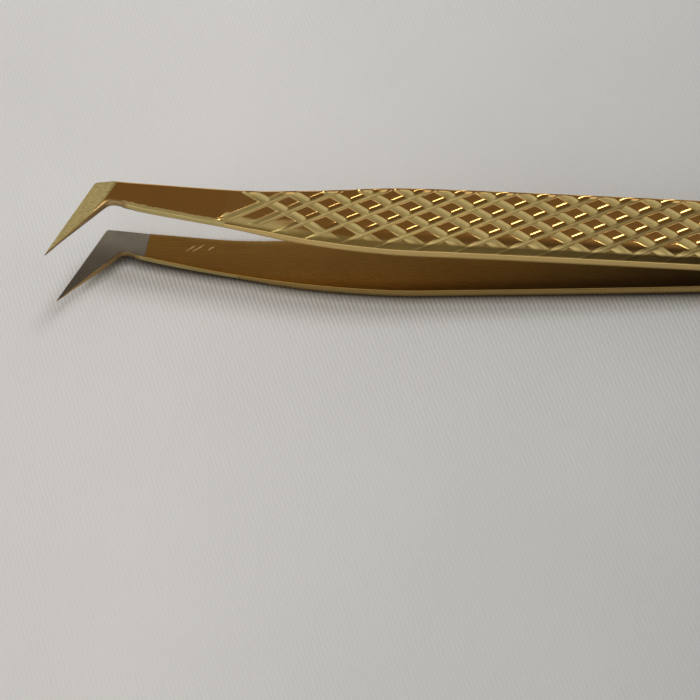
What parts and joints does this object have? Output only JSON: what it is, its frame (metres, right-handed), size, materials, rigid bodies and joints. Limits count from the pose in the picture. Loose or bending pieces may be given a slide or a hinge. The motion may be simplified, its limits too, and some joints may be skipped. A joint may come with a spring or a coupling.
{
  "type": "precision tweezers",
  "caption": "Precision tweezers with fine points bent to one side, wide diamond-cut grips and sprung blades welded at the rear, for picking up single lashes.",
  "frame": {"origin": "bottom centre of the object's box, with the blades' middle plane level", "axes": "+X from the points to the welded rear end, +Z across the jaw gap from the lower blade to the upper one, +Y away from the side that the points bend to"},
  "size_m": [0.132, 0.012, 0.0102],
  "materials": {
    "blade_steel": "satin stainless steel with a gold nitride coating, worn brighter on the edges",
    "tip_grit": "grey, matt, fine cross-hatched grit on the inside of the points",
    "weld_steel": "coated weld nugget, slightly duller than the blades"
  },
  "bodies": {
    "rear": {"upper_tang": "blade_steel", "lower_tang": "blade_steel", "spot_weld_1": "weld_steel", "spot_weld_2": "weld_steel", "spot_weld_3": "weld_steel"},
    "upper": {"upper_blade": "blade_steel", "upper_tip_grit": "tip_grit"},
    "lower": {"lower_blade": "blade_steel", "lower_tip_grit": "tip_grit"}
  },
  "joints": [
    {"name": "upper_flex", "type": "hinge", "parent": "rear", "child": "upper", "pos_m": [0.042, 0.00065, 0.00577], "axis": [0, -1, 0], "range_deg": [0, 2.12], "stiffness_Nm_per_rad": 3},
    {"name": "lower_flex", "type": "hinge", "parent": "rear", "child": "lower", "pos_m": [0.042, 0.00065, 0.00447], "axis": [0, 1, 0], "range_deg": [0, 2.12], "stiffness_Nm_per_rad": 3}
  ],
  "couplings": [
    {"joint": "lower_flex", "follows": "upper_flex", "ratio": 1}
  ]
}
